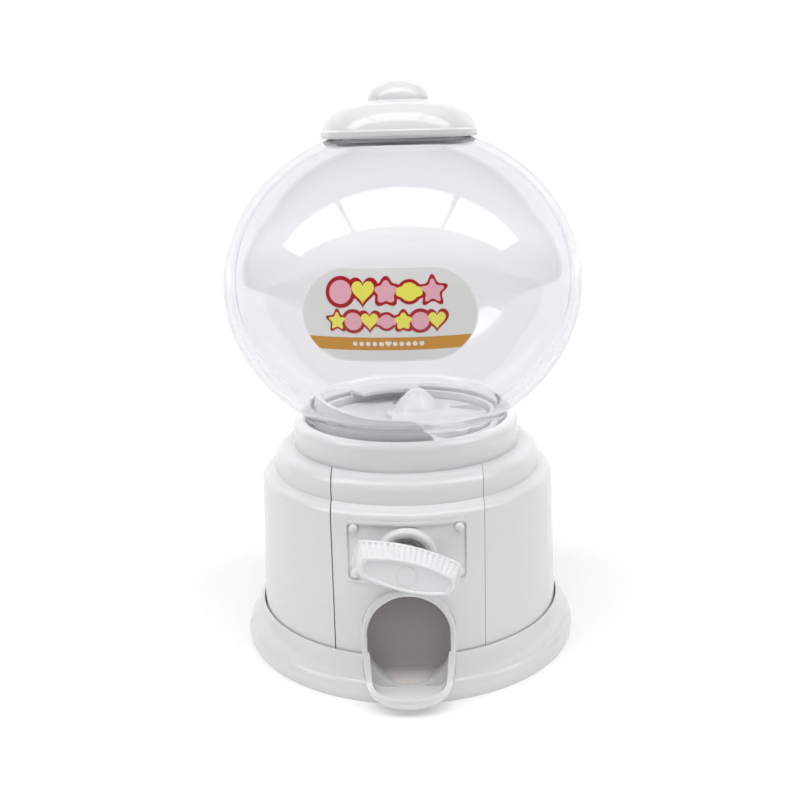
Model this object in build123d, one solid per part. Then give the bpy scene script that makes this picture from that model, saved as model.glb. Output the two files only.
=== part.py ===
"""A small hand-cranked gumball machine: clear globe, white stepped base, bar knob, spout, lift-off lid.

Millimetres, +Z up, the front faces -Y, and the origin is the centre of the foot ring on the table.
Turning the knob turns a pinion, which turns a crown gear and the wheel above the hopper floor.
A sweet in a pocket of the wheel drops through the floor and rolls down the ramp to the spout.
"""

from build123d import *
import math
import os

# ---- driving dimensions ----------------------------------------------------------------------
TOTAL_HEIGHT = 140.0
WALL = 1.8  # moulded plastic walls of the base
GAP = 0.15  # fitting gap between fixed mouldings
RUNNING = 0.05  # radial clearance of a shaft in its bearing

FOOT_R = 43.2  # widest radius of the foot ring
PLINTH_TOP = 10.0
BODY_R_LOW = 38.5  # body wall where it leaves the foot ring
BODY_R_HIGH = 37.3  # body wall under the shoulder
SHELL_FOOT = 4.0  # the body wall goes this low, inside the foot ring
SHOULDER_Z = 42.8
LEDGE_Z = 45.4
STEP_R = 33.8
DECK_Z = 51.4  # flat top of the base, under the collar
DECK_BORE_R = 24.45
PANEL_LEFT = -17.6  # the front panel's upright seams
PANEL_RIGHT = 18.1
SEAM_R = 28.5  # the panel's top edge, hidden under the collar

COLLAR_R = 28.8
COLLAR_TOP = 58.4
NECK_SEAT_Z = 54.0
NECK_R = 25.75  # outside of the globe's lower neck

GLOBE_A = 44.0  # the globe's outside is an ellipsoid: horizontal and vertical half axes
GLOBE_B = 38.4
GLOBE_Z = 91.2
GLOBE_WALL = 1.6
TOP_NECK_R = 17.0
TOP_NECK_Z = 130.4

LID_R = 18.9
LID_BOTTOM = 126.6
LID_TOP = 135.8
LID_WALL = 1.5

LABEL_AZ = -3.3  # the label is a stadium wrapped on the globe
LABEL_HALF_W = 18.6
LABEL_HALF_H = 10.1
LABEL_T = 0.15

AXIS_Z = 34.6  # height of the knob's axis
KNOB_TILT = 15.0  # degrees clockwise from the front, how the bar stands at rest
KNOB_REAR_Y = -42.0
KNOB_FRONT_Y = -48.6
SHAFT_R = 3.0
SHAFT_END_R = 2.0
RING_R = 7.0  # raised ring round the knob's stem
RING_HOLE_R = 4.9
BUSHING_BACK_Y = -31.5

MOUTH_R = 9.65  # the spout is a stadium: this end radius, between two centre heights
MOUTH_LOW_Z = 12.15
MOUTH_HIGH_Z = 15.75
SPOUT_WALL = 1.3
SPOUT_FRONT_Y = -50.0
SPOUT_RING_Y = -39.6
SPOUT_BACK_Y = -34.8
SPOUT_LIP_Y = -38.3  # behind here the spout's bore is wider, so that the mouth has a clear edge
SPOUT_RELIEF = 0.5
SPOUT_FIT = 0.04  # the spout is pushed into its notch
TRAY_BACK_Y = -38.7
TRAY_BEND_Y = -43.5  # the tray's sides are straight to here, and its front is half an ellipse
TRAY_BACK_HALF_W = 10.85
TRAY_HALF_W = 9.9
TRAY_LOW_Z = 1.3
TRAY_CORNER_R = 5.0

PINION_R = 4.5  # pitch radii; module 1 with 9 and 18 teeth
PINION_TEETH = 9
CROWN_R = 9.0
CROWN_TEETH = 18
PINION_FACE = 1.6
CROWN_FACE = 3.0
CROWN_TIP_Z = AXIS_Z + PINION_R - 0.75
CROWN_ROOT_Z = AXIS_Z + PINION_R + 1.0
CROWN_DISC_T = 2.3
CROWN_BOSS_Z = 44.0

HOPPER_R = 23.7
HOPPER_WALL = 1.2
FLOOR_LOW_Z = 51.6
FLOOR_Z = 53.4  # top of the hopper's floor
HOPPER_RIM_Z = 57.2
CURB_Z = 63.2
GUARD_Z = 58.2  # roof over the outer part of the drop hole, so that only a pocket can feed it
GUARD_R = 17.5
DROP_R = 16.8  # the drop hole's place and size
DROP_AZ = -168.0
DROP_HOLE_R = 4.8
TUBE_LOW_Z = 28.5
SPINDLE_R = 3.0

WHEEL_R = 22.0
WHEEL_Z = 53.8
WHEEL_T = 1.4
ARM_Z = 57.8
BELL_X = 3.0
BELL_Y = 2.0
BELL_Z = 63.6
POCKET_R = 5.4

SCREW_R = 0.9
SCREW_HEAD_R = 1.9
SCREW_HEAD_T = 0.85  # less than COVER_Z, so that the foot ring alone carries the machine

BOSS_R = 31.0
BOSS_AZIMUTHS = (50, 130, 230, 310)
COVER_Z = 1.0
COVER_T = 1.5
COLLAR_SCREW_R = 27.2
COLLAR_SCREW_AZIMUTHS = (90, 180, 270)
RAMP_HALF_W = 10.2
RAMP_WALL = 1.2
TONGUE_Y = -38.2  # the ramp's tongue lies inside the spout, just below the mouth's edge
TONGUE_Z = 2.6
RAMP_FRONT_Z = 3.7
RAMP_FLANGE_Z = 23.6
BRACKET_Y = (-5.0, -2.6)
BRACKET_SCREW_X = 13.6
LEG_Y = 12.0
LEG_X = 14.8


# ---- helpers ---------------------------------------------------------------------------------
def turned(*edges):
    """A ring: the closed outline in radius and height, turned about Z."""
    return revolve(Plane.XZ * make_face(edges), Axis.Z)


def turned_points(*points):
    return turned(Polyline(*points, close=True))


def tube(outer, inner, low, high):
    """An upright tube round Z."""
    return Pos(0, 0, low) * extrude(Circle(outer) - Circle(inner), high - low)


def disc(radius, low, high, x=0.0, y=0.0):
    return Pos(x, y, low) * extrude(Circle(radius), high - low)


def rod_y(radius, y0, y1):
    """A rod on the knob's axis from y0 back to y1."""
    return extrude(Plane(origin=(0, y0, AXIS_Z), z_dir=(0, 1, 0)) * Circle(radius), y1 - y0)


def block(x0, x1, y0, y1, z0, z1):
    centre = ((x0 + x1) / 2, (y0 + y1) / 2, (z0 + z1) / 2)
    return Pos(*centre) * Box(x1 - x0, y1 - y0, z1 - z0)


def at_azimuth(radius, azimuth):
    """A point on a circle; azimuth 0 is the front, -Y, and 90 is +X."""
    a = math.radians(azimuth)
    return radius * math.sin(a), -radius * math.cos(a)


def along_y(sketch, y0, y1):
    """A sketch in X and Z, as seen from the front, pulled from y1 forward to y0."""
    front = Plane(origin=(0, y1, 0), x_dir=(1, 0, 0), z_dir=(0, -1, 0))
    return extrude(front * sketch, y1 - y0)


def along_x(sketch, x0, x1):
    """A sketch in Y and Z pulled from x0 to x1."""
    side = Plane(origin=(x0, 0, 0), x_dir=(0, 1, 0), z_dir=(1, 0, 0))
    return extrude(side * sketch, x1 - x0)


def outline(*points):
    return make_face(Polyline(*points, close=True))


def stadium(radius, low=MOUTH_LOW_Z, high=MOUTH_HIGH_Z):
    """The mouth's outline in X and Z, between two centre heights."""
    ends = Pos(0, low) * Circle(radius) + Pos(0, high) * Circle(radius)
    return ends + Pos(0, (low + high) / 2) * Rectangle(2 * radius, high - low)


def wall_radius(z):
    """Outer radius of the slightly tapered body wall."""
    share = (z - PLINTH_TOP) / (SHOULDER_Z - PLINTH_TOP)
    return BODY_R_LOW + (BODY_R_HIGH - BODY_R_LOW) * share


def screw(x, y, head_z, length, head_r=SCREW_HEAD_R):
    """A pan-head screw driven upwards: head below head_z, shank above it, with a cross recess."""
    head = disc(head_r, head_z - SCREW_HEAD_T, head_z, x, y)
    head = chamfer(head.edges().group_by(Axis.Z)[0], 0.35)
    arm = Box(head_r * 1.1, 0.45, 0.7)
    recess = Pos(x, y, head_z - SCREW_HEAD_T + 0.3) * (arm + Rot(0, 0, 90) * arm)
    return head + disc(SCREW_R, head_z, head_z + length, x, y) - recess


# ---- the base --------------------------------------------------------------------------------
def spout_notch():
    """The room that the spout takes through the wall and the foot ring."""
    ring = along_y(stadium(MOUTH_R + SPOUT_WALL + SPOUT_FIT), -60, -30)
    return ring + loft([tray_section(TRAY_BACK_Y + SPOUT_FIT, TRAY_BACK_HALF_W, -SPOUT_FIT),
                        tray_section(TRAY_BEND_Y, TRAY_HALF_W, -SPOUT_FIT)])


def make_plinth():
    lip_r, cover_r = 36.4, 37.7
    ring = turned(
        Line((cover_r, 0), (FOOT_R - 0.4, 0)),
        ThreePointArc((FOOT_R - 0.4, 0), (FOOT_R, 1.4), (FOOT_R - 1.1, 4.5)),
        Line((FOOT_R - 1.1, 4.5), (FOOT_R - 1.55, 4.8)),
        ThreePointArc((FOOT_R - 1.55, 4.8), (40.75, 7.6), (39.5, 9.75)),
        Polyline((39.5, 9.75), (39.1, PLINTH_TOP), (38.85, PLINTH_TOP), (38.85, SHELL_FOOT),
                 (lip_r, SHELL_FOOT), (lip_r, COVER_Z + COVER_T), (cover_r, COVER_Z + COVER_T),
                 (cover_r, 0)),
    )
    return ring - spout_notch()


def body_of_base():
    """The whole stepped body as one shell, before the front panel is taken out of it."""
    foot_r = wall_radius(SHELL_FOOT)
    return turned(
        Line((foot_r, SHELL_FOOT), (BODY_R_HIGH, SHOULDER_Z)),
        ThreePointArc((BODY_R_HIGH, SHOULDER_Z), (36.75, 44.15), (35.5, 44.85)),
        Polyline((35.5, 44.85), (STEP_R + 0.1, LEDGE_Z), (STEP_R, 47.6)),
        ThreePointArc((STEP_R, 47.6), (32.9, 50.2), (30.4, DECK_Z)),
        Polyline((30.4, DECK_Z), (DECK_BORE_R, DECK_Z), (DECK_BORE_R, DECK_Z - WALL),
                 (30.0, DECK_Z - WALL)),
        ThreePointArc((30.0, DECK_Z - WALL), (31.5, 48.9), (STEP_R - WALL, 47.4)),
        Polyline((STEP_R - WALL, 47.4), (STEP_R - WALL, 44.2), (34.8, 43.2),
                 (BODY_R_HIGH - WALL, 41.9), (foot_r - WALL, SHELL_FOOT), (foot_r, SHELL_FOOT)),
    )


def panel_zone(left, right, top_r):
    """The upright slot in the front of the body; the deck under the collar stays whole."""
    slot = block(left, right, -50, -10, 0, DECK_Z + 1)
    return slot - disc(top_r, DECK_Z - 4, DECK_Z + 2)


def make_base_shell():
    shell = body_of_base() - panel_zone(PANEL_LEFT, PANEL_RIGHT, SEAM_R)
    for azimuth in BOSS_AZIMUTHS:
        x, y = at_azimuth(BOSS_R, azimuth)
        reach = wall_radius(14) - WALL + 0.5
        rib = Rot(0, 0, azimuth - 90) * block(BOSS_R + 1, reach, -0.7, 0.7, SHELL_FOOT, 14)
        shell = shell + disc(2.6, COVER_Z + COVER_T, 14, x, y) + rib - disc(SCREW_R, 0, 12, x, y)
    for azimuth in COLLAR_SCREW_AZIMUTHS:
        x, y = at_azimuth(COLLAR_SCREW_R, azimuth)
        shell -= disc(SCREW_R + 0.1, DECK_Z - 3, DECK_Z + 1, x, y)
    return shell


def plate_frame(line, height):
    """One layer of the name plate's frame: a rounded rectangular line of a given width and height."""
    low, high, half, middle_line = 27.8, 42.7, 14.3, 0.35
    middle = (low + high) / 2
    spread = line / 2 - middle_line
    size = (2 * (half + spread), high - low + 2 * spread)
    outer = Pos(0, middle) * RectangleRounded(*size, 1.6 + spread)
    inner = Pos(0, middle) * RectangleRounded(size[0] - 2 * line, size[1] - 2 * line, 1.6 + spread - line)
    skin = turned_points(
        (wall_radius(20) - 0.5, 20), (wall_radius(20) + height, 20),
        (wall_radius(SHOULDER_Z) + height, SHOULDER_Z), (wall_radius(SHOULDER_Z) - 0.5, SHOULDER_Z),
    )
    return along_y(outer - inner, -50, -20) & skin


def plate_relief():
    """The raised frame of a blank name plate, a soft bead, with its four mock rivets."""
    relief = plate_frame(0.95, 0.18) + plate_frame(0.75, 0.34) + plate_frame(0.45, 0.46)
    for x in (-12.0, 12.0):
        for z in (29.9, 40.8):
            relief += Pos(x, -math.sqrt(wall_radius(z) ** 2 - x**2), z) * Sphere(1.2)
    return relief


def stem_ring():
    """The rounded ring round the knob's stem, turned about the knob's axis."""
    crest, middle = -39.5, (RING_R + RING_HOLE_R) / 2
    profile = make_face(
        [
            Polyline((RING_HOLE_R, crest + 0.9), (RING_HOLE_R, -36.6), (RING_R, -36.6),
                     (RING_R, crest + 0.9)),
            ThreePointArc((RING_R, crest + 0.9), (middle, crest), (RING_HOLE_R, crest + 0.9)),
        ]
    )
    return Pos(0, 0, AXIS_Z) * revolve(profile, Axis.Y)


def make_front_panel():
    left, right = PANEL_LEFT + 0.25, PANEL_RIGHT - 0.1
    panel = body_of_base() & panel_zone(left, right, SEAM_R + 0.12)
    low_r, high_r = wall_radius(6) - WALL, wall_radius(41) - WALL
    for side, edge in ((-1, left), (1, right)):
        for inset, x0, x1 in ((-0.3, edge - side * 1.6, edge), (0.25, edge - side * 1.6, edge + side * 1.8)):
            lap = turned_points((low_r - 1.3, 6), (low_r - inset, 6), (high_r - inset, 40),
                                (high_r - 1.3, 40))
            panel += lap & block(min(x0, x1), max(x0, x1), -45, -20, 5, 42)
    panel += rod_y(RING_HOLE_R + 1.3, -36.6, BUSHING_BACK_Y)
    panel = panel + plate_relief() + stem_ring()
    return panel - rod_y(RING_HOLE_R, -45, -25) - spout_notch()


def make_bottom_cover():
    cover = disc(37.5, COVER_Z, COVER_Z + COVER_T)
    cover = chamfer(cover.edges().group_by(Axis.Z)[0], 0.4)
    for azimuth in BOSS_AZIMUTHS:
        cover -= disc(SCREW_R + 0.1, 0, 5, *at_azimuth(BOSS_R, azimuth))
    for x in (-LEG_X, LEG_X):
        cover -= disc(SCREW_R + 0.1, 0, 5, x, LEG_Y)
    foot = disc(5.0, 0, COVER_Z + 0.5)
    return cover + foot - block(-11.8, 11.8, -45, SPOUT_BACK_Y + 0.4, 0, 9)


def make_cover_screws():
    places = [at_azimuth(BOSS_R, a) for a in BOSS_AZIMUTHS] + [(-LEG_X, LEG_Y), (LEG_X, LEG_Y)]
    return Compound([screw(x, y, COVER_Z, 7.0) for x, y in places])


def make_neck_collar():
    seat_r = NECK_R + 0.1
    collar = turned(
        Line((COLLAR_R, DECK_Z), (COLLAR_R - 0.1, 55.9)),
        ThreePointArc((COLLAR_R - 0.1, 55.9), (28.2, 57.7), (27.1, COLLAR_TOP)),
        ThreePointArc((27.1, COLLAR_TOP), (26.4, 58.3), (seat_r, 57.8)),
        Polyline((seat_r, 57.8), (seat_r, NECK_SEAT_Z), (DECK_BORE_R, NECK_SEAT_Z),
                 (DECK_BORE_R, 52.7), (26.1, 52.7), (26.1, DECK_Z), (COLLAR_R, DECK_Z)),
    )
    for azimuth in COLLAR_SCREW_AZIMUTHS:
        collar -= disc(SCREW_R, DECK_Z - 1, DECK_Z + 4, *at_azimuth(COLLAR_SCREW_R, azimuth))
    return collar


def make_collar_screws():
    places = [at_azimuth(COLLAR_SCREW_R, azimuth) for azimuth in COLLAR_SCREW_AZIMUTHS]
    return Compound([screw(x, y, DECK_Z - WALL, 5.4) for x, y in places])


# ---- the hopper, the wheel and the way down ----------------------------------------------------
def curb():
    """The raised wall at the front left of the hopper, which falls away in an S on the right."""
    top = Spline((-24.0, CURB_Z + 1.4), (-14.0, CURB_Z + 0.5), (-2.0, CURB_Z - 0.1),
                 (2.6, CURB_Z - 0.6), (5.2, 60.0), (8.2, HOPPER_RIM_Z - 0.6),
                 tangents=((1, 0), (1, -0.15)))
    side = Polyline((8.2, HOPPER_RIM_Z - 0.6), (8.2, FLOOR_Z - 1), (-24.0, FLOOR_Z - 1),
                    (-24.0, CURB_Z + 1.4))
    wall = tube(HOPPER_R, HOPPER_R - HOPPER_WALL, FLOOR_Z - 1, CURB_Z + 3)
    return wall & along_y(make_face([top, side]), -30, -6.0)


def make_hopper():
    hopper = disc(HOPPER_R, FLOOR_LOW_Z, FLOOR_Z)
    hopper += disc(25.9, DECK_Z, 52.6)
    hopper += tube(HOPPER_R, HOPPER_R - HOPPER_WALL, FLOOR_Z - 0.5, HOPPER_RIM_Z)
    hopper += curb()
    hopper += disc(5.0, CROWN_BOSS_Z + 0.3, FLOOR_LOW_Z + 0.2)
    x, y = at_azimuth(DROP_R, DROP_AZ)
    hopper += disc(DROP_HOLE_R + 1.0, TUBE_LOW_Z, FLOOR_LOW_Z + 0.2, x, y)
    wedge = [(0, 0)] + [at_azimuth(30, DROP_AZ + a) for a in (-22, 0, 29)]
    guard = tube(HOPPER_R, GUARD_R, GUARD_Z, GUARD_Z + 0.9)
    guard += tube(HOPPER_R, HOPPER_R - HOPPER_WALL, FLOOR_Z, GUARD_Z + 0.5)
    hopper += guard & (Pos(0, 0, FLOOR_Z - 1) * extrude(outline(*wedge), 10))
    hopper -= disc(DROP_HOLE_R, TUBE_LOW_Z - 1, FLOOR_Z + 0.1, x, y)
    return hopper - disc(SPINDLE_R + RUNNING, CROWN_BOSS_Z, FLOOR_Z + 1)


def make_dispensing_wheel():
    """Turning wheel with three pockets, a broad arm, and an off-centre bell that stirs the sweets."""
    wheel = disc(WHEEL_R, WHEEL_Z, WHEEL_Z + WHEEL_T)
    arm = outline((-3.8, 7.0), (-3.8, -7.6), (6.0, -10.6), (12.0, -15.0), (19.0, -15.0), (22.0, -8.0),
                  (22.0, -3.0), (10.0, 4.0), (6.0, 9.6))
    fork = outline((13.6, -20.0), (15.4, -12.2), (22.0, -10.6), (22.0, -20.0))
    body = Pos(0, 0, WHEEL_Z + 0.5) * extrude(arm - fork, ARM_Z - WHEEL_Z - 0.5)
    body &= disc(WHEEL_R - 0.2, WHEEL_Z, 60)
    body = fillet(body.edges().group_by(Axis.Z)[-1], 0.8)
    bell = turned(
        Spline((0, BELL_Z), (1.6, BELL_Z - 0.4), (3.6, BELL_Z - 2.2), (5.4, BELL_Z - 4.2),
               (8.0, ARM_Z - 0.6), tangents=((1, 0), (1, -0.25))),
        Polyline((8.0, ARM_Z - 0.6), (8.0, WHEEL_Z + 0.5), (0, WHEEL_Z + 0.5), (0, BELL_Z)),
    )
    wheel += body + Pos(BELL_X, BELL_Y, 0) * bell
    for azimuth in (114, 174, 294):
        wheel -= disc(POCKET_R, WHEEL_Z - 1, 60, *at_azimuth(DROP_R - 0.4, azimuth))
    spindle = disc(SPINDLE_R, CROWN_ROOT_Z + CROWN_DISC_T, WHEEL_Z + 0.2)
    spindle -= block(2.2, 4, -4, 4, 0, CROWN_BOSS_Z)
    return wheel + spindle - disc(SCREW_R, CROWN_ROOT_Z, CROWN_BOSS_Z + 4.5)


def gear_tooth(root, pitch, tip, half_root, half_pitch, half_tip):
    """A tooth outline that points along +X of its own plane."""
    return outline((root - 0.4, -half_root), (root, -half_root), (pitch, -half_pitch),
                   (tip, -half_tip), (tip, half_tip), (pitch, half_pitch), (root, half_root),
                   (root - 0.4, half_root))


def make_drive_pinion():
    y0 = -CROWN_R - PINION_FACE / 2
    face = Circle(PINION_R - 1.1)
    tooth = gear_tooth(PINION_R - 1.1, PINION_R, PINION_R + 0.7, 0.8, 0.55, 0.24)
    for k in range(PINION_TEETH):
        face += Rot(0, 0, 90 + 360 * k / PINION_TEETH) * tooth
    pinion = Pos(0, 0, AXIS_Z) * along_y(face, y0, y0 + PINION_FACE)
    return pinion - rod_y(SHAFT_END_R, y0 - 1, y0 + PINION_FACE + 1)


def make_crown_gear():
    inner, outer = CROWN_R - CROWN_FACE / 2, CROWN_R + CROWN_FACE / 2
    gear = disc(outer + 0.2, CROWN_ROOT_Z, CROWN_ROOT_Z + CROWN_DISC_T)
    gear += disc(4.9, CROWN_ROOT_Z, CROWN_BOSS_Z)
    levels = ((CROWN_TIP_Z, 0.22), (CROWN_ROOT_Z - 1.0, 0.52), (CROWN_ROOT_Z + 0.2, 0.8))
    for k in range(CROWN_TEETH):
        turn = Rot(0, 0, 360 * (k + 0.5) / CROWN_TEETH)
        ends = []
        for r in (inner, outer):
            s = r / CROWN_R
            profile = [(-h * s, z) for z, h in levels] + [(h * s, z) for z, h in reversed(levels)]
            ends.append(Plane(origin=(0, -r, 0), x_dir=(1, 0, 0), z_dir=(0, -1, 0)) * outline(*profile))
        gear += turn * loft(ends)
    bore = disc(SPINDLE_R + 0.02, CROWN_ROOT_Z + CROWN_DISC_T, CROWN_BOSS_Z + 1)
    bore -= block(2.22, 4, -4, 4, 0, CROWN_BOSS_Z + 1)
    return gear - bore - disc(SCREW_R + 0.1, 30, 50)


def make_crown_screw():
    return screw(0, 0, CROWN_ROOT_Z, 5.5)


def make_chute_ramp():
    """Open trough from the drop tube to the spout, with a tongue in front and two legs below."""
    back, front, low = 23.6, SPOUT_BACK_Y + 0.3, COVER_Z + COVER_T + 0.3
    floor = [(front, RAMP_FRONT_Z), (-31.9, RAMP_FRONT_Z + 0.1), (-21.5, 17.6), (back, 20.6)]
    under = [(back, 19.2), (-20.8, 16.2), (-30.9, low), (front, low)]
    half = RAMP_HALF_W + RAMP_WALL
    floor_part = along_x(outline(*(floor + under)), -half, half)
    side_face = outline(*([(front, 16.0), (-33.0, 25.0), (-27.0, 25.0), (-24.0, RAMP_FLANGE_Z),
                           (10.0, RAMP_FLANGE_Z), (12.0, 27.8), (back, 27.8)] + under))
    ramp = floor_part
    for x0, x1 in ((-half, -RAMP_HALF_W), (RAMP_HALF_W, half)):
        ramp += along_x(side_face, x0, x1)
    ramp += block(-half, half, back - RAMP_WALL, back, 19.5, 27.8)
    tongue = outline((TONGUE_Y, 0.5), (TONGUE_Y, TONGUE_Z), (front, RAMP_FRONT_Z),
                     (front + 0.5, RAMP_FRONT_Z), (front + 0.5, low + 0.1), (front, low + 0.1), (front, 0.5))
    ramp += along_x(tongue, -9, 9) & along_y(stadium(MOUTH_R + SPOUT_RELIEF - SPOUT_FIT), -50, -20)
    for side in (-1, 1):
        x0, x1 = sorted((side * (half - 0.6), side * (BRACKET_SCREW_X + 2.2)))
        flange = block(x0, x1, BRACKET_Y[0] - 2, BRACKET_Y[1] + 2, RAMP_FLANGE_Z - 3.4, RAMP_FLANGE_Z)
        leg = disc(2.8, COVER_Z + COVER_T, 22, side * LEG_X, LEG_Y)
        tie = block(*sorted((side * (half - 0.6), side * (LEG_X - 1))), LEG_Y - 1, LEG_Y + 1, 12, 22)
        ramp = ramp + flange + leg + tie - disc(SCREW_R, 0, 9, side * LEG_X, LEG_Y)
        ramp -= disc(SCREW_R, 15, 30, side * BRACKET_SCREW_X, sum(BRACKET_Y) / 2)
    return ramp


def make_gear_bracket():
    """Bridge over the trough that carries the inner end of the knob's shaft."""
    y0, y1 = BRACKET_Y
    reach = BRACKET_SCREW_X + 2.2
    arch = outline((-reach, RAMP_FLANGE_Z), (-reach, 25.4), (-11.2, 25.4), (-5.2, 37.4), (-3.4, 37.8),
                   (3.4, 37.8), (5.2, 37.4), (11.2, 25.4), (reach, 25.4), (reach, RAMP_FLANGE_Z),
                   (9.2, RAMP_FLANGE_Z), (3.6, 30.6), (-3.6, 30.6), (-9.2, RAMP_FLANGE_Z))
    bracket = along_y(arch, y0, y1) - rod_y(SHAFT_END_R + RUNNING, y0 - 1, y1 + 1)
    for x in (-BRACKET_SCREW_X, BRACKET_SCREW_X):
        bracket -= disc(SCREW_R + 0.1, 20, 30, x, (y0 + y1) / 2)
    return bracket


def make_bracket_screws():
    driven = []
    for x in (-BRACKET_SCREW_X, BRACKET_SCREW_X):
        upright = screw(0, 0, 0, 4.4)
        driven.append(Pos(x, sum(BRACKET_Y) / 2, 25.4) * Rot(180, 0, 0) * upright)
    return Compound(driven)


def tray_section(y, half_width, inset):
    """Cross-section of the tray under the mouth: straight sides, round corners, a flat floor."""
    w, low, corner, top = half_width - inset, TRAY_LOW_Z + inset, TRAY_CORNER_R - inset, 17.0
    c = corner * (1 - math.sqrt(0.5))
    edges = [
        Line((-w, top), (-w, low + corner)),
        ThreePointArc((-w, low + corner), (-w + c, low + c), (-w + corner, low)),
        Line((-w + corner, low), (w - corner, low)),
        ThreePointArc((w - corner, low), (w - c, low + c), (w, low + corner)),
        Polyline((w, low + corner), (w, top), (-w, top)),
    ]
    return Plane(origin=(0, y, 0), x_dir=(1, 0, 0), z_dir=(0, -1, 0)) * make_face(edges)


def tray(inset):
    """The tray that catches a sweet: it narrows a little from the ring and ends in a round front."""
    w, low, corner, top = TRAY_HALF_W - inset, TRAY_LOW_Z + inset, TRAY_CORNER_R - inset, 17.0
    c = corner * (1 - math.sqrt(0.5))
    end = turned(
        Polyline((w, low + corner), (w, top), (0, top), (0, low), (w - corner, low)),
        ThreePointArc((w - corner, low), (w - c, low + c), (w, low + corner)),
    )
    depth = TRAY_BEND_Y - SPOUT_FRONT_Y - inset
    end = Pos(0, TRAY_BEND_Y, 0) * scale(end, by=(1, depth / w, 1))
    sides = loft([tray_section(TRAY_BACK_Y, TRAY_BACK_HALF_W, inset),
                  tray_section(TRAY_BEND_Y, TRAY_HALF_W, inset)])
    return sides + (end & block(-30, 30, -60, TRAY_BEND_Y, -1, 20))


def make_chute_spout():
    """A ring in the front wall with a tray below it, cut down to a low rim at the front."""
    mouth = along_y(stadium(MOUTH_R), SPOUT_RING_Y - 1, SPOUT_LIP_Y)
    mouth += along_y(stadium(MOUTH_R + SPOUT_RELIEF), SPOUT_LIP_Y, SPOUT_BACK_Y + 1)
    ring = along_y(stadium(MOUTH_R + SPOUT_WALL), SPOUT_RING_Y, SPOUT_BACK_Y) - mouth
    ring = fillet(ring.edges().group_by(Axis.Y)[0], 0.45)
    start = (SPOUT_RING_Y + 0.5, 16.4)
    rim = Spline((-60, 4.9), (-47.6, 4.9), (-45.2, 5.5), (-42.8, 7.9), (-41.0, 11.2), start)
    over = Polyline(start, (start[0], 40), (-60, 40), (-60, 4.9))
    shell = tray(0) - tray(SPOUT_WALL) - along_x(make_face([rim, over]), -20, 20)
    back_wall = tray(0) & block(-20, 20, SPOUT_RING_Y, TRAY_BACK_Y, 0, MOUTH_LOW_Z)
    spout = ring + shell + back_wall - mouth
    flange = along_y(stadium(MOUTH_R + 2.4) - stadium(MOUTH_R + 0.6), -36.2, -34.8)
    behind = disc(wall_radius(20) - WALL - 0.4, COVER_Z + COVER_T + 0.3, 34)
    flange &= behind - block(-20, 20, -50, 0, 0, 12.4)
    return spout + flange


def make_shaft_bushing():
    bushing = rod_y(RING_HOLE_R - 0.05, -36.2, BUSHING_BACK_Y) + rod_y(6.2, BUSHING_BACK_Y, -30.6)
    return bushing - rod_y(SHAFT_R + RUNNING, -40, -20)


# ---- the knob and its shaft --------------------------------------------------------------------
def bar_outline(length, middle, end):
    """The bar's barrel outline about the knob's axis: bulging long sides, gently rounded ends."""
    a, m, e = length / 2, middle / 2, end / 2
    return make_face(
        [
            ThreePointArc((-a, e), (0, m), (a, e)),
            ThreePointArc((a, e), (a + 0.5, 0), (a, -e)),
            ThreePointArc((a, -e), (0, -m), (-a, -e)),
            ThreePointArc((-a, -e), (-a - 0.5, 0), (-a, e)),
        ]
    )


def front_plane(y):
    return Plane(origin=(0, y, AXIS_Z), x_dir=(1, 0, 0), z_dir=(0, -1, 0))


def tilted(shape):
    """Turned about the knob's axis to the way the bar stands at rest."""
    return Pos(0, 0, AXIS_Z) * Rot(0, KNOB_TILT, 0) * Pos(0, 0, -AXIS_Z) * shape


def make_knob():
    flange = extrude(front_plane(KNOB_REAR_Y) * bar_outline(23.6, 9.4, 6.4), 0.9)
    bar = loft([front_plane(KNOB_REAR_Y - 0.5) * bar_outline(22.3, 8.8, 5.6),
                front_plane(KNOB_FRONT_Y) * bar_outline(19.7, 7.4, 4.2)])
    bar = fillet(bar.edges().group_by(Axis.Y)[0], 0.5)
    recess = extrude(front_plane(KNOB_FRONT_Y + 0.4) * bar_outline(17.0, 5.6, 2.6), 2)
    ring = extrude(front_plane(KNOB_FRONT_Y + 0.6) * (Circle(2.3) - Circle(1.9)), 0.35)
    stem = rod_y(4.3, KNOB_REAR_Y - 0.3, KNOB_REAR_Y + 1.8)
    knob = bar - recess + ring + flange + stem
    bore = rod_y(SHAFT_R + 0.03, -46.0, KNOB_REAR_Y + 3)
    bore -= block(-5, 5, -50, -30, AXIS_Z + 2.23, AXIS_Z + 6)
    return tilted(knob - bore)


def make_knob_shaft():
    y_step = -CROWN_R - PINION_FACE / 2 - 0.1
    shaft = rod_y(SHAFT_R, -45.9, y_step) + rod_y(SHAFT_END_R, y_step - 0.1, BRACKET_Y[1] + 0.8)
    shaft -= block(-5, 5, -50, KNOB_REAR_Y + 1.8, AXIS_Z + 2.2, AXIS_Z + 6)
    groove = rod_y(SHAFT_R + 1, -30.3, -29.5) - rod_y(SHAFT_R - 0.6, -31, -29)
    return tilted(shaft - groove)


def make_shaft_clip():
    clip = rod_y(4.9, -30.25, -29.55) - rod_y(SHAFT_R - 0.58, -31, -29)
    return clip - block(-1.9, 1.9, -31, -29, AXIS_Z - 6, AXIS_Z)


# ---- the globe, the label and the lid ----------------------------------------------------------
def ellipsoid(a, b, z):
    """Half axes a across and b upright, centred at height z."""
    arc = EllipticalCenterArc((0, z), a, b, start_angle=-90, arc_size=180)
    return turned(arc, Line((0, z + b), (0, z - b)))


def globe_solid(inset):
    return ellipsoid(GLOBE_A - inset, GLOBE_B - inset, GLOBE_Z)


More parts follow.
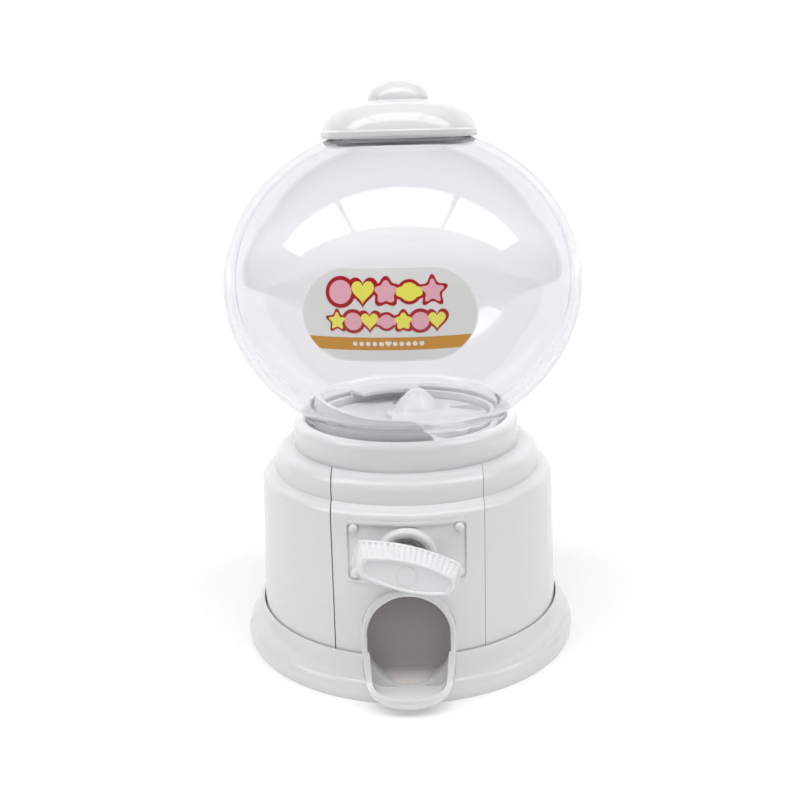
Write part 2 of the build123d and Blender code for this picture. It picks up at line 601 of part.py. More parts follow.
def globe():
    """The clear globe with its two necks, before it is split into a front and a rear half."""
    solid = globe_solid(0) + disc(NECK_R, NECK_SEAT_Z, 62) + disc(TOP_NECK_R, 124, TOP_NECK_Z)
    hollow = globe_solid(GLOBE_WALL) + disc(NECK_R - GLOBE_WALL, 50, 64)
    return solid - hollow - disc(TOP_NECK_R - GLOBE_WALL, 120, 132)


def make_label():
    skin = globe_solid(-0.02 - LABEL_T) - globe_solid(-0.02)
    straight = 2 * (LABEL_HALF_W - LABEL_HALF_H)
    shape = Rectangle(straight, 2 * LABEL_HALF_H)
    for side in (-1, 1):
        shape += Pos(side * straight / 2, 0) * Circle(LABEL_HALF_H)
    return skin & (Rot(0, 0, LABEL_AZ) * along_y(Pos(0, GLOBE_Z) * shape, -60, -20))


def solid_lid():
    """The lid's outside as one solid: a low rim, bulging sides and a shallow dome."""
    side, top, shoulder_r = LID_BOTTOM + 1.9, LID_TOP, 10.5
    drop = 1.2
    sphere_r = (shoulder_r**2 + drop**2) / (2 * drop)
    middle = (shoulder_r / 2, top - sphere_r + math.sqrt(sphere_r**2 - (shoulder_r / 2) ** 2))
    return turned(
        Polyline((0, LID_BOTTOM), (LID_R - 0.2, LID_BOTTOM), (LID_R, LID_BOTTOM + 0.5),
                 (LID_R - 0.05, LID_BOTTOM + 1.5), (LID_R - 0.5, side)),
        ThreePointArc((LID_R - 0.5, side), (16.2, 132.3), (shoulder_r, top - drop)),
        ThreePointArc((shoulder_r, top - drop), middle, (0, top)),
        Line((0, top), (0, LID_BOTTOM)),
    )


def make_lid():
    """The shell of the lid, hollow above the globe's upper neck."""
    w = LID_WALL
    hollow = turned_points(
        (0, LID_BOTTOM - 1), (18.2, LID_BOTTOM - 1), (17.4, LID_BOTTOM + 0.4), (17.3, 129.5),
        (17.0, TOP_NECK_Z + 0.3), (14.6, TOP_NECK_Z + 0.3), (13.4, 132.6 - w), (9.6, 134.5 - w),
        (5.0, 135.3 - w), (0, 135.4 - w),
    )
    return solid_lid() - hollow


def bend(r, z, radius, start, end):
    """An arc about a point in radius and height, between two angles measured from straight up."""
    ends = [(r + radius * math.sin(math.radians(a)), z + radius * math.cos(math.radians(a)))
            for a in (start, (start + end) / 2, end)]
    return ThreePointArc(*ends)


def make_lid_knob():
    """A glossy button that stands on the lid's dome: a shallow crown that turns down at its rim."""
    crown_r, rim_r, turn = 10.0, 4.1, 33.0
    reach = crown_r - rim_r
    lean = math.radians(turn)
    rim = (reach * math.sin(lean), TOTAL_HEIGHT - crown_r + reach * math.cos(lean))
    foot = (rim[0] + rim_r, LID_TOP - 2)
    button = turned(
        bend(0, TOTAL_HEIGHT - crown_r, crown_r, 0, turn),
        bend(*rim, rim_r, turn, 90),
        Polyline((foot[0], rim[1]), foot, (0, foot[1]), (0, TOTAL_HEIGHT)),
    )
    return button - solid_lid()


def main():
    os.makedirs("parts", exist_ok=True)
    whole_globe = globe()
    parts = {
        "plinth": make_plinth(),
        "base_shell": make_base_shell(),
        "front_panel": make_front_panel(),
        "bottom_cover": make_bottom_cover(),
        "cover_screws": make_cover_screws(),
        "neck_collar": make_neck_collar(),
        "collar_screws": make_collar_screws(),
        "hopper": make_hopper(),
        "dispensing_wheel": make_dispensing_wheel(),
        "crown_gear": make_crown_gear(),
        "crown_screw": make_crown_screw(),
        "drive_pinion": make_drive_pinion(),
        "chute_ramp": make_chute_ramp(),
        "gear_bracket": make_gear_bracket(),
        "bracket_screws": make_bracket_screws(),
        "chute_spout": make_chute_spout(),
        "shaft_bushing": make_shaft_bushing(),
        "knob": make_knob(),
        "knob_shaft": make_knob_shaft(),
        "shaft_clip": make_shaft_clip(),
        "globe_front": whole_globe & block(-50, 50, -50, -0.03, 50, 140),
        "globe_rear": whole_globe & block(-50, 50, 0.03, 50, 50, 140),
        "label": make_label(),
        "lid": make_lid(),
        "lid_knob": make_lid_knob(),
    }
    for node, shape in parts.items():
        export_step(shape, "parts/" + node + ".step")


main()
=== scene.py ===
"""Looks of the small gumball machine: white plastic, a clear globe, a printed label, a ribbed knob."""

import bpy
import bmesh
import math
from mathutils import Matrix, Vector


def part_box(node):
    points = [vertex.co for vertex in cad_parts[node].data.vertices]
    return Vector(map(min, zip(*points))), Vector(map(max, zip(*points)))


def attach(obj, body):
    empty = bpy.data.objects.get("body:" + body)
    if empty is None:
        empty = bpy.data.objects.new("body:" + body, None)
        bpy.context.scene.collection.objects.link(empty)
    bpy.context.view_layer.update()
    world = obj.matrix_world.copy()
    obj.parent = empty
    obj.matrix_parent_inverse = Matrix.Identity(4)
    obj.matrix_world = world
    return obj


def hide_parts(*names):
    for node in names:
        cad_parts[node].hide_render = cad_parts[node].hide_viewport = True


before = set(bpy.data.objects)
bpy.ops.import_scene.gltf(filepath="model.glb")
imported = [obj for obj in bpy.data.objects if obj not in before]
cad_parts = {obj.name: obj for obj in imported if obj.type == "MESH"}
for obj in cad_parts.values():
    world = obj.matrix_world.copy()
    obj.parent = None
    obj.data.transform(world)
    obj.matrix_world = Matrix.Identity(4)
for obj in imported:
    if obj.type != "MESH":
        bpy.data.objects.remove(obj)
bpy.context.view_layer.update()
MM = 0.001

# ---- sizes and places, the same as the CAD's ---------------------------------------------------
GLOBE_A, GLOBE_B, GLOBE_Z = 44.0 * MM, 38.4 * MM, 91.2 * MM
GLOBE_WALL = 1.6 * MM
SEAM_GAP = 0.03 * MM  # each half stands back from the plane between them by this
GLOBE_SHY = 0.006 * MM  # keeps the round globe inside the CAD globe's own facets
LABEL_AZ = math.radians(-3.3)
LABEL_HALF_L, LABEL_HALF_H = 19.2 * MM, 10.1 * MM
KNOB_Z = 34.6 * MM
KNOB_TILT = math.radians(15.0)
KNOB_RIBS = 17

# ---- camera, light and floor -----------------------------------------------------------------
CAMERA_AT = (-1.4 * MM, -248 * MM, 128 * MM)
CAMERA_YAW = 1.1
CAMERA_PITCH = 15.04
CAMERA_ROLL = -1.46
CAMERA_LENS = 45.0
SOFTBOX_Y, SOFTBOX_Z, SOFTBOX_DEPTH = -0.31, 0.95, 0.5
SOFTBOXES = (
    # name, x, width, watts
    ("softbox_centre", -0.03, 0.84, 4.7),
    ("softbox_left", -1.12, 1.24, 7.4),
    ("softbox_right", 1.06, 1.24, 7.0),
)
PAPER_WHITE = 0.8  # the floor's colour near the machine
DIM_FLOOR_Y = (-0.42, -0.26)  # the floor in front fades between these
DIM_FLOOR_SHARE = 0.4
GLOW_DISTANCE = (0.1, 1.2)  # the floor's own glow grows between these distances from the machine
GLOW_STRENGTH = (0.22, 0.7)
INK_ROUGHNESS = 0.3


def link(obj):
    bpy.context.scene.collection.objects.link(obj)
    return obj


def make_camera():
    data = bpy.data.cameras.new("camera")
    data.lens = CAMERA_LENS
    data.sensor_width = 36.0
    data.clip_start = 0.01
    data.clip_end = 20.0
    camera = link(bpy.data.objects.new("camera", data))
    yaw = Matrix.Rotation(math.radians(CAMERA_YAW), 4, "Z")
    tilt = Matrix.Rotation(math.radians(90 - CAMERA_PITCH), 4, "X")
    roll = Matrix.Rotation(math.radians(CAMERA_ROLL), 4, "Z")
    camera.matrix_world = yaw @ Matrix.Translation(CAMERA_AT) @ tilt @ roll
    bpy.context.scene.camera = camera


def area_light(name, place, target, size, power):
    data = bpy.data.lights.new(name, "AREA")
    data.shape = "RECTANGLE"
    data.size, data.size_y = size
    data.energy = power
    light = link(bpy.data.objects.new(name, data))
    light.location = place
    light.rotation_euler = (Vector(target) - Vector(place)).to_track_quat("-Z", "Y").to_euler()


def make_world():
    """The dim room around the softboxes: a little brighter overhead than at the sides."""
    world = bpy.data.worlds.new("studio")
    bpy.context.scene.world = world
    world.use_nodes = True
    nodes, links = world.node_tree.nodes, world.node_tree.links
    background = nodes["Background"]
    place = nodes.new("ShaderNodeTexCoord")
    split = nodes.new("ShaderNodeSeparateXYZ")
    height = nodes.new("ShaderNodeValToRGB")
    links.new(place.outputs["Generated"], split.inputs[0])
    links.new(split.outputs["Z"], height.inputs[0])
    ramp = height.color_ramp
    ramp.elements[0].position, ramp.elements[0].color = 0.0, (0.55, 0.55, 0.56, 1)
    ramp.elements[1].position, ramp.elements[1].color = 0.9, (0.9, 0.9, 0.92, 1)
    middle = ramp.elements.new(0.3)
    middle.color = (0.42, 0.42, 0.43, 1)
    links.new(height.outputs["Color"], background.inputs["Color"])
    background.inputs["Strength"].default_value = 0.3


def make_stage():
    """A pale, faintly glowing sweep that curves up behind the object and is dimmer in front of it."""
    mesh = bpy.data.meshes.new("sweep")
    radius, back, width, near_edge, top = 0.8, 1.6, 4.0, -2.5, 2.6
    profile = [(near_edge, 0.0)]
    steps = 24
    for i in range(steps + 1):
        turn = math.pi / 2 * i / steps
        profile.append((back + radius * math.sin(turn), radius * (1 - math.cos(turn))))
    profile.append((back + radius, top))
    verts = [(x, y, z) for y, z in profile for x in (-width, width)]
    faces = [(2 * i, 2 * i + 1, 2 * i + 3, 2 * i + 2) for i in range(len(profile) - 1)]
    mesh.from_pydata(verts, [], faces)
    mesh.shade_smooth()
    sweep = link(bpy.data.objects.new("sweep", mesh))
    material = bpy.data.materials.new("sweep_paper")
    material.use_nodes = True
    nodes, links = material.node_tree.nodes, material.node_tree.links
    shader = nodes["Principled BSDF"]
    shader.inputs["Roughness"].default_value = 0.9
    place = nodes.new("ShaderNodeTexCoord")
    away = nodes.new("ShaderNodeVectorMath")
    away.operation = "LENGTH"
    links.new(place.outputs["Object"], away.inputs[0])
    glow = nodes.new("ShaderNodeMapRange")
    glow.inputs["From Min"].default_value, glow.inputs["From Max"].default_value = GLOW_DISTANCE
    glow.inputs["To Min"].default_value, glow.inputs["To Max"].default_value = GLOW_STRENGTH
    links.new(away.outputs["Value"], glow.inputs["Value"])
    split = nodes.new("ShaderNodeSeparateXYZ")
    links.new(place.outputs["Object"], split.inputs[0])
    front = nodes.new("ShaderNodeMapRange")
    front.inputs["From Min"].default_value, front.inputs["From Max"].default_value = DIM_FLOOR_Y
    front.inputs["To Min"].default_value = DIM_FLOOR_SHARE
    links.new(split.outputs["Y"], front.inputs["Value"])
    faded = nodes.new("ShaderNodeMath")
    faded.operation = "MULTIPLY"
    links.new(glow.outputs["Result"], faded.inputs[0])
    links.new(front.outputs["Result"], faded.inputs[1])
    paper = nodes.new("ShaderNodeMath")
    paper.operation = "MULTIPLY"
    paper.inputs[1].default_value = PAPER_WHITE
    links.new(front.outputs["Result"], paper.inputs[0])
    links.new(paper.outputs["Value"], shader.inputs["Base Color"])
    shader.inputs["Emission Color"].default_value = (1, 1, 1, 1)
    links.new(faded.outputs["Value"], shader.inputs["Emission Strength"])
    mesh.materials.append(material)


# ---- materials ---------------------------------------------------------------------------------
def noise(nodes, links, place, scale, detail):
    texture = nodes.new("ShaderNodeTexNoise")
    texture.inputs["Scale"].default_value = scale
    texture.inputs["Detail"].default_value = detail
    links.new(place.outputs["Object"], texture.inputs["Vector"])
    return texture


def between(nodes, links, source, low, high):
    """Maps a texture's middle range onto low to high."""
    ranged = nodes.new("ShaderNodeMapRange")
    ranged.inputs["From Min"].default_value = 0.3
    ranged.inputs["From Max"].default_value = 0.7
    ranged.inputs["To Min"].default_value = low
    ranged.inputs["To Max"].default_value = high
    links.new(source, ranged.inputs["Value"])
    return ranged.outputs["Result"]


def plastic(name, colour, roughness, peel=0.02, peel_scale=900.0, shade=0.02, subsurface=0.0):
    """Moulded plastic: a faint orange peel, cloudy gloss and a little variation of its tone."""
    material = bpy.data.materials.new(name)
    material.use_nodes = True
    nodes, links = material.node_tree.nodes, material.node_tree.links
    shader = nodes["Principled BSDF"]
    place = nodes.new("ShaderNodeTexCoord")
    cloud = noise(nodes, links, place, 45.0, 3.0)
    tone = nodes.new("ShaderNodeMix")
    tone.data_type = "RGBA"
    links.new(cloud.outputs["Fac"], tone.inputs["Factor"])
    tone.inputs["A"].default_value = (*[c * (1 - shade) for c in colour], 1)
    tone.inputs["B"].default_value = (*[min(1.0, c * (1 + shade)) for c in colour], 1)
    links.new(tone.outputs["Result"], shader.inputs["Base Color"])
    gloss = noise(nodes, links, place, 60.0, 1.0)
    rough = between(nodes, links, gloss.outputs["Fac"], roughness * 0.97, roughness * 1.03)
    links.new(rough, shader.inputs["Roughness"])
    grain = noise(nodes, links, place, peel_scale, 1.5)
    bump = nodes.new("ShaderNodeBump")
    bump.inputs["Strength"].default_value = peel
    bump.inputs["Distance"].default_value = 0.0002
    links.new(grain.outputs["Fac"], bump.inputs["Height"])
    links.new(bump.outputs["Normal"], shader.inputs["Normal"])
    shader.inputs["IOR"].default_value = 1.49
    if subsurface:
        shader.inputs["Subsurface Weight"].default_value = subsurface
        shader.inputs["Subsurface Radius"].default_value = (0.0012, 0.0011, 0.001)
        shader.inputs["Subsurface Scale"].default_value = 1.0
    return material


def steel(name, colour, roughness):
    """Plated steel, faintly brushed."""
    material = bpy.data.materials.new(name)
    material.use_nodes = True
    nodes, links = material.node_tree.nodes, material.node_tree.links
    shader = nodes["Principled BSDF"]
    place = nodes.new("ShaderNodeTexCoord")
    stretch = nodes.new("ShaderNodeMapping")
    stretch.inputs["Scale"].default_value = (1.0, 1.0, 12.0)
    links.new(place.outputs["Object"], stretch.inputs["Vector"])
    brushed = nodes.new("ShaderNodeTexNoise")
    brushed.inputs["Scale"].default_value = 600.0
    links.new(stretch.outputs["Vector"], brushed.inputs["Vector"])
    tone = nodes.new("ShaderNodeMix")
    tone.data_type = "RGBA"
    links.new(brushed.outputs["Fac"], tone.inputs["Factor"])
    tone.inputs["A"].default_value = (*[c * 0.8 for c in colour], 1)
    tone.inputs["B"].default_value = (*colour, 1)
    links.new(tone.outputs["Result"], shader.inputs["Base Color"])
    links.new(between(nodes, links, brushed.outputs["Fac"], roughness * 0.7, roughness * 1.3),
              shader.inputs["Roughness"])
    shader.inputs["Metallic"].default_value = 1.0
    return material


def clear_plastic(name):
    """Clear moulded plastic with faint waves in its surface."""
    material = bpy.data.materials.new(name)
    material.use_nodes = True
    nodes, links = material.node_tree.nodes, material.node_tree.links
    shader = nodes["Principled BSDF"]
    place = nodes.new("ShaderNodeTexCoord")
    wave = noise(nodes, links, place, 30.0, 1.0)
    bump = nodes.new("ShaderNodeBump")
    bump.inputs["Strength"].default_value = 0.02
    bump.inputs["Distance"].default_value = 0.0002
    links.new(wave.outputs["Fac"], bump.inputs["Height"])
    links.new(bump.outputs["Normal"], shader.inputs["Normal"])
    cloud = noise(nodes, links, place, 200.0, 2.0)
    links.new(between(nodes, links, cloud.outputs["Fac"], 0.02, 0.025), shader.inputs["Roughness"])
    rim = nodes.new("ShaderNodeLayerWeight")
    rim.inputs["Blend"].default_value = 0.35
    tint = nodes.new("ShaderNodeValToRGB")
    tint.color_ramp.elements[0].color = (0.90, 0.90, 0.905, 1)
    tint.color_ramp.elements[1].color = (0.89, 0.88, 0.95, 1)
    links.new(rim.outputs["Facing"], tint.inputs["Fac"])
    links.new(tint.outputs["Color"], shader.inputs["Base Color"])
    shader.inputs["Transmission Weight"].default_value = 1.0
    shader.inputs["IOR"].default_value = 1.46
    return material


def print_ink(name, colour):
    """Printed film: a fine halftone in the tone, and a slight sheen."""
    return plastic(name, colour, INK_ROUGHNESS, peel=0.01, peel_scale=2500.0, shade=0.04)


def paint(node, material):
    """Gives a CAD node one material."""
    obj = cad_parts[node]
    obj.data.materials.clear()
    obj.data.materials.append(material)
    for polygon in obj.data.polygons:
        polygon.material_index = 0


# ---- mesh helpers --------------------------------------------------------------------------------
def new_piece(name, verts, faces, material, body, angle=35.0):
    """A visible piece from points and faces, riding on a body and filed under a material slot."""
    mesh = bpy.data.meshes.new(name)
    mesh.from_pydata([tuple(v) for v in verts], [], faces)
    cleaner = bmesh.new()
    cleaner.from_mesh(mesh)
    bmesh.ops.remove_doubles(cleaner, verts=cleaner.verts, dist=1e-7)
    bmesh.ops.recalc_face_normals(cleaner, faces=cleaner.faces)
    cleaner.to_mesh(mesh)
    cleaner.free()
    mesh.validate()
    mesh.shade_smooth()
    mesh.set_sharp_from_angle(angle=math.radians(angle))
    mesh.materials.append(material)
    piece = link(bpy.data.objects.new(name, mesh))
    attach(piece, body)
    return piece


def grid_faces(rows, columns, wrap_columns=False, wrap_rows=False, start=0):
    """Quads of a grid of points stored row by row."""
    faces = []
    for i in range(rows if wrap_rows else rows - 1):
        for j in range(columns if wrap_columns else columns - 1):
            i1, j1 = (i + 1) % rows, (j + 1) % columns
            faces.append((start + i * columns + j, start + i * columns + j1,
                          start + i1 * columns + j1, start + i1 * columns + j))
    return faces


# ---- the globe -----------------------------------------------------------------------------------
def globe_profile():
    """The wall's closed outline in radius and height, outside upwards and then inside downwards."""
    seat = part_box("globe_front")[0].z
    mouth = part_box("globe_front")[1].z
    low_r, top_r = 25.75 * MM, 17.0 * MM
    outer_blend, inner_blend = 0.6 * MM, 2.2 * MM  # how far the corner over the lower neck is rounded
    corner_steps, wall_steps = 8, 96
    outside, inside = [], []
    for offset, blend, side in ((0.0, outer_blend, outside), (GLOBE_WALL, inner_blend, inside)):
        a, b = GLOBE_A - GLOBE_SHY - offset, GLOBE_B - offset
        low = -math.acos((low_r - offset) / a)
        high = math.acos((top_r - offset) / a)
        start = low + blend / b
        corner = Vector((low_r - offset, GLOBE_Z + b * math.sin(low)))
        below = corner - Vector((0, blend))
        above = Vector((a * math.cos(start), GLOBE_Z + b * math.sin(start)))
        side.append((low_r - offset, seat))
        for i in range(corner_steps + 1):
            s = i / corner_steps
            side.append(tuple(below * (1 - s) ** 2 + corner * 2 * s * (1 - s) + above * s * s))
        for i in range(1, wall_steps + 1):
            t = start + (high - start) * i / wall_steps
            side.append((a * math.cos(t), GLOBE_Z + b * math.sin(t)))
        side.append((top_r - offset, mouth))
    return outside + inside[::-1]


def make_globe_half(name, node, facing, material):
    """Half a turn of the wall; facing is -1 for the front half and 1 for the rear half."""
    profile = globe_profile()
    turns = 128
    verts, columns = [], len(profile)
    for i in range(turns + 1):
        angle = math.pi * i / turns
        x, y = math.cos(angle), facing * math.sin(angle)
        verts += [(r * x, r * y * (1 - SEAM_GAP / GLOBE_A) + facing * SEAM_GAP, z) for r, z in profile]
    faces = grid_faces(turns + 1, columns, wrap_columns=True)
    half = columns // 2
    for row in (0, turns):
        first = row * columns
        for j in range(half - 1):
            faces.append((first + j, first + j + 1, first + columns - 2 - j, first + columns - 1 - j))
    piece = new_piece(name, verts, faces, material, "base", angle=50.0)
    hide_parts(node)
    piece.visible_shadow = False


# ---- the label -------------------------------------------------------------------------------------
def on_globe(u, v, lift):
    """A point of the label's film: u along the globe to the right, v up, lift off the surface."""
    tilt = v / GLOBE_B
    z = GLOBE_Z + (GLOBE_B + lift) * math.sin(tilt)
    r = (GLOBE_A + lift) * math.cos(tilt)
    angle = u / GLOBE_A + LABEL_AZ
    return (r * math.sin(angle), -r * math.cos(angle), z)


def film(name, outline, centre, lift, thickness, material, rings=6):
    """A thin printed patch on the globe, filled from its centre out to a closed outline."""
    count = len(outline)
    verts, faces = [], []
    cu, cv = centre
    for level in (lift + thickness, lift):
        for k in range(1, rings + 1):
            share = k / rings
            verts += [on_globe(cu + (u - cu) * share, cv + (v - cv) * share, level) for u, v in outline]
    top, low = 0, rings * count
    faces += grid_faces(rings, count, wrap_columns=True, start=top)
    faces += grid_faces(rings, count, wrap_columns=True, start=low)
    outer_top, outer_low = (rings - 1) * count, low + (rings - 1) * count
    for j in range(count):
        k = (j + 1) % count
        faces.append((outer_top + j, outer_top + k, outer_low + k, outer_low + j))
    verts += [on_globe(cu, cv, lift + thickness), on_globe(cu, cv, lift)]
    for j in range(count):
        k = (j + 1) % count
        faces.append((len(verts) - 2, j, k))
        faces.append((len(verts) - 1, low + k, low + j))
    return new_piece(name, verts, faces, material, "base")


def stadium_outline(half_l, half_h):
    """A long outline with two straight sides and two round ends."""
    steps = 32
    straight = half_l - half_h
    points = []
    for side, start in ((1, -math.pi / 2), (-1, math.pi / 2)):
        for i in range(steps + 1):
            t = start + math.pi * i / steps
            points.append((side * straight + half_h * math.cos(t), half_h * math.sin(t)))
        points += [(side * straight * (1 - 2 * i / steps), side * half_h) for i in range(1, steps)]
    return points


def band_film(name, v_low, v_high, half_l, half_h, lift, thickness, material):
    """A stripe across the stadium, cut off by the stadium's round ends."""
    straight = half_l - half_h
    rows, columns = 7, 97
    verts = []
    for level in (lift + thickness, lift):
        for i in range(rows):
            v = v_low + (v_high - v_low) * i / (rows - 1)
            reach = straight + math.sqrt(half_h**2 - v**2)
            verts += [on_globe(reach * (2 * j / (columns - 1) - 1), v, level) for j in range(columns)]
    low = rows * columns
    faces = grid_faces(rows, columns) + grid_faces(rows, columns, start=low)
    rim = [j for j in range(columns)] + [i * columns + columns - 1 for i in range(1, rows)]
    rim += [(rows - 1) * columns + j for j in range(columns - 2, -1, -1)]
    rim += [i * columns for i in range(rows - 2, 0, -1)]
    for a, b in zip(rim, rim[1:] + rim[:1]):
        faces.append((a, b, low + b, low + a))
    return new_piece(name, verts, faces, material, "base")


def sweet_outline(kind, size):
    """Outlines of plain sweets about their own middle; size is half their height."""
    points = []
    steps = 72
    for i in range(steps):
        t = 2 * math.pi * i / steps
        if kind == "ball":
            r = 1.0
        elif kind == "heart":
            x = 0.98 * math.sin(t) ** 3
            y = (13 * math.cos(t) - 5 * math.cos(2 * t) - 2 * math.cos(3 * t) - math.cos(4 * t)) / 15.0
            points.append((size * x, size * (y + 0.12)))
            continue
        elif kind == "flower":
            r = 0.86 + 0.14 * math.cos(5 * (t - math.pi / 2))
        elif kind == "star":
            r = 0.80 + 0.20 * math.cos(5 * (t - math.pi / 2)) + 0.04 * math.cos(10 * (t - math.pi / 2))
        elif kind == "wrapped":
            swell = max(0.0, abs(math.cos(t)) - 0.80) / 0.20
            r = 0.78 + 0.42 * swell ** 1.5 * (1 - 0.25 * math.exp(-(math.sin(t) / 0.12) ** 2))
        points.append((size * r * math.cos(t), size * r * math.sin(t)))
    return points


def shifted(points, u, v, scale=1.0):
    """An outline moved to (u, v), and enlarged about its own middle."""
    return [(u + scale * x, v + scale * y) for x, y in points]


def make_label():
    """The film with its light rim, an orange band with pale dots, and two rows of sweets with red edges."""
    paper = print_ink("label_paper", (0.75, 0.75, 0.74))
    border = print_ink("label_border", (0.88, 0.88, 0.88))
    orange = print_ink("ink_orange", (0.60, 0.27, 0.02))
    red = print_ink("ink_red", (0.42, 0.012, 0.018))
    pink = print_ink("ink_pink", (0.80, 0.42, 0.50))
    yellow = print_ink("ink_yellow", (0.84, 0.80, 0.12))
    white = print_ink("ink_white", (0.82, 0.80, 0.76))
    rim = 0.35 * MM
    film_lift, film_thickness, layer = 0.02 * MM, 0.13 * MM, 0.02 * MM
    face_lift, band_lift, edge_lift, fill_lift = 0.15 * MM, 0.17 * MM, 0.19 * MM, 0.22 * MM
    band_low, band_middle, band_high = -7.4 * MM, -6.0 * MM, -4.6 * MM
    dots, dot_pitch, dot_size, heart_size = 11, 1.42 * MM, 0.5 * MM, 0.72 * MM
    base = film("label_rim", stadium_outline(LABEL_HALF_L, LABEL_HALF_H), (0, 0), film_lift, film_thickness,
                border, rings=30)
    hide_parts("label")
    inner = (LABEL_HALF_L - rim, LABEL_HALF_H - rim)
    film("label_face", stadium_outline(*inner), (0, 0), face_lift, layer, paper, rings=30)
    band_film("label_band", band_low, band_high, *inner, band_lift, layer, orange)
    for i in range(dots):
        u = (i - dots // 2) * dot_pitch - 0.2 * MM
        kind, size = ("heart", heart_size) if i == dots // 2 else ("ball", dot_size)
        dot = shifted(sweet_outline(kind, size), u, band_middle)
        film(f"label_dot_{i + 1}", dot, (u, band_middle), edge_lift, layer, white, rings=2)
    rows = (
        # height on the label, pitch, half a sweet's height, the sweets from left to right
        (4.9 * MM, 4.85 * MM, 2.45 * MM, ("ball", "heart", "flower", "wrapped", "star")),
        (-1.15 * MM, 3.5 * MM, 1.85 * MM, ("star", "ball", "heart", "wrapped", "flower", "ball", "heart")),
    )
    edge_widths = (0.85 * MM, 0.72 * MM)
    for row, (v, pitch, size, kinds) in enumerate(rows):
        for i, kind in enumerate(kinds):
            u = (i - (len(kinds) - 1) / 2) * pitch - 0.4 * MM
            shape = sweet_outline(kind, size)
            edge = size + edge_widths[row]
            tag = f"{'ab'[row]}{i + 1}"
            film(f"sweet_edge_{tag}", shifted(shape, u, v, edge / size), (u, v), edge_lift,
                 layer * (1 + 0.2 * (i % 2)), red)  # neighbours' edges overlap, so every second is thicker
            fill = pink if (i + row) % 2 == 0 else yellow
            film(f"sweet_fill_{tag}", shifted(shape, u, v), (u, v), fill_lift, layer, fill)


# ---- the knob ----------------------------------------------------------------------------------------
def bar_rim(half_l, half_m, half_e, rib):
    """The bar's barrel outline, with ribs of a given height on its two long sides."""
    points = []
    steps, end_steps = 360, 12
    bulge = 0.5 * MM
    for side in (1, -1):
        for i in range(steps):
            s = -1 + 2 * (i + 0.5) / steps
            x = side * s * half_l
            z = half_e + (half_m - half_e) * (1 - s * s)
            groove = (0.5 - 0.5 * math.cos(2 * math.pi * KNOB_RIBS * (s + 1) / 2)) ** 3
            z += rib * (0.4 - groove) * min(1.0, 12 * (1 - abs(s)))
            points.append((x, side * z))
        for i in range(1, end_steps):
            z = side * half_e * (1 - 2 * i / end_steps)
            points.append((side * (half_l + bulge * (1 - (z / half_e) ** 2)), z))
    return points


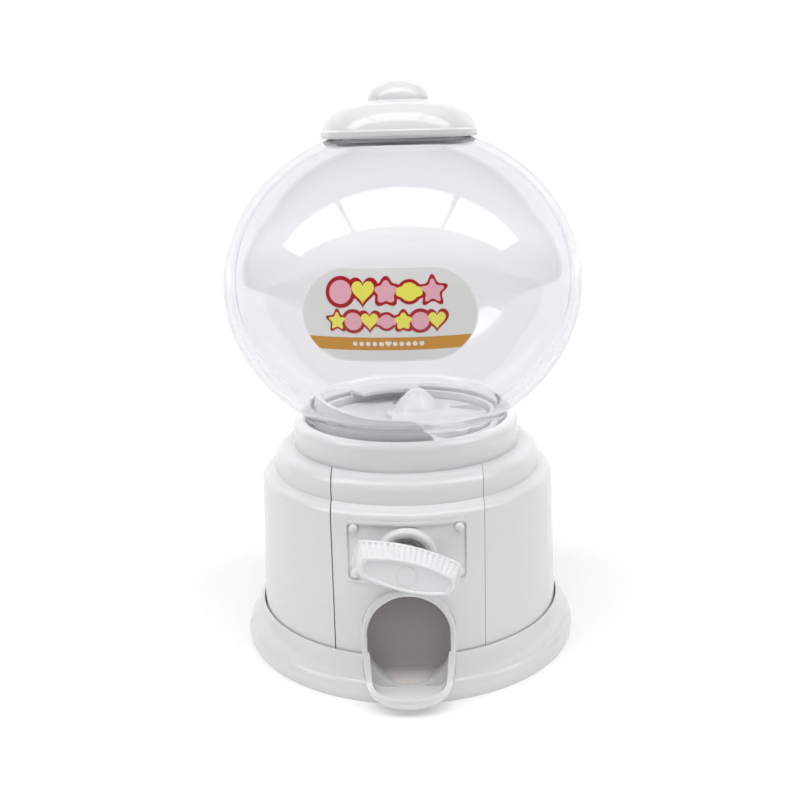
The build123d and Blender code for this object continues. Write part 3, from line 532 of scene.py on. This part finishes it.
def make_knob(material):
    """The ribbed bar: rear flange, ribbed tapering body, rounded front rim and a recessed front face."""
    sections = (
        # y, half length, half middle height, half end height, rib height, all in mm
        (-42.0, 11.4, 4.5, 3.0, 0.0), (-41.9, 11.6, 4.6, 3.15, 0.0), (-42.15, 11.75, 4.7, 3.2, 0.0),
        (-42.75, 11.75, 4.7, 3.2, 0.0), (-42.9, 11.6, 4.6, 3.1, 0.0), (-42.95, 11.25, 4.4, 2.85, 0.4),
        (-43.6, 11.15, 4.35, 2.8, 0.44), (-45.4, 10.7, 4.15, 2.6, 0.4), (-47.3, 10.2, 3.9, 2.4, 0.3),
        (-48.0, 10.05, 3.8, 2.3, 0.12), (-48.35, 9.95, 3.72, 2.22, 0.0), (-48.58, 9.75, 3.55, 2.05, 0.0),
        (-48.63, 9.45, 3.35, 1.85, 0.0), (-48.55, 9.15, 3.12, 1.65, 0.0), (-48.2, 9.0, 3.0, 1.55, 0.0),
        (-48.15, 8.7, 2.8, 1.35, 0.0),
    )
    verts = []
    for y, half_l, half_m, half_e, rib in sections:
        outline = bar_rim(half_l * MM, half_m * MM, half_e * MM, rib * MM)
        verts += [(x, y * MM, z) for x, z in outline]
    columns = len(outline)
    faces = grid_faces(len(sections), columns, wrap_columns=True)
    for row, y in ((0, sections[0][0]), (len(sections) - 1, sections[-1][0])):
        verts.append((0, y * MM, 0))
        first = row * columns
        faces += [(len(verts) - 1, first + j, first + (j + 1) % columns) for j in range(columns)]
    turn = Matrix.Translation((0, 0, KNOB_Z)) @ Matrix.Rotation(KNOB_TILT, 4, "Y")
    knob = new_piece("knob_bar", [turn @ Vector(v) for v in verts], faces, material, "knob_train",
                     angle=40.0)
    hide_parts("knob")
    ring = []
    ring_r, ring_y, swell_r, swell_y = 2.15, -48.15, 0.16, 0.12  # the raised ring on the bar's face, in mm
    steps, tube = 96, 10
    for i in range(steps):
        a = 2 * math.pi * i / steps
        for j in range(tube):
            b = 2 * math.pi * j / tube
            r = (ring_r + swell_r * math.cos(b)) * MM
            y = (ring_y + swell_y * math.sin(b)) * MM
            ring.append(turn @ Vector((r * math.cos(a), y, r * math.sin(a))))
    new_piece("knob_ring", ring, grid_faces(steps, tube, True, True), material, "knob_train")


# ---- putting it together -----------------------------------------------------------------------------
def paint_nodes():
    white = plastic("base_plastic", (0.775, 0.775, 0.78), 0.13, subsurface=0.06)
    panel = plastic("panel_plastic", (0.78, 0.78, 0.785), 0.09, subsurface=0.06)
    # Painted shade: the white plastic darkened for the hopper, wheel and bottom cover, standing in for the
    # shade that the globe, which casts no shadow, would throw on them.
    inner = plastic("inner_plastic_painted_shade", (0.66, 0.66, 0.675), 0.22, subsurface=0.06)
    gear = plastic("gear_plastic", (0.74, 0.74, 0.72), 0.5, peel=0.05)
    lid = plastic("lid_plastic", (0.86, 0.86, 0.865), 0.05, subsurface=0.06)
    # Painted light: the chute ramp's plastic is warm-tinted and brighter than the white plastic, which
    # lifts the shaded inside of the chute mouth.
    ramp_painted_light = plastic("ramp_plastic_painted_light", (0.93, 0.885, 0.865), 0.35, subsurface=0.06)
    screws = steel("screw_zinc", (0.62, 0.62, 0.63), 0.32)
    clip = steel("clip_spring_steel", (0.35, 0.35, 0.36), 0.4)
    table = {
        white: ("plinth", "base_shell", "neck_collar"),
        panel: ("front_panel", "chute_spout"),
        inner: ("bottom_cover", "hopper", "dispensing_wheel"),
        ramp_painted_light: ("chute_ramp",),
        gear: ("crown_gear", "drive_pinion", "gear_bracket", "shaft_bushing", "knob_shaft"),
        lid: ("lid", "lid_knob"),
        screws: ("cover_screws", "collar_screws", "crown_screw", "bracket_screws"),
        clip: ("shaft_clip",),
    }
    for material, nodes in table.items():
        for node in nodes:
            paint(node, material)


make_camera()
make_world()
make_stage()
for box_name, box_x, box_width, watts in SOFTBOXES:
    box_place = (box_x, SOFTBOX_Y, SOFTBOX_Z)
    straight_down = (box_x, SOFTBOX_Y, 0)
    area_light(box_name, box_place, straight_down, (box_width, SOFTBOX_DEPTH), watts)
paint_nodes()
clear = clear_plastic("globe_plastic")
make_globe_half("globe_front_shell", "globe_front", -1, clear)
make_globe_half("globe_rear_shell", "globe_rear", 1, clear)
make_label()
make_knob(plastic("knob_plastic", (0.82, 0.82, 0.83), 0.2, subsurface=0.06))
bpy.context.scene.view_settings.view_transform = "Standard"
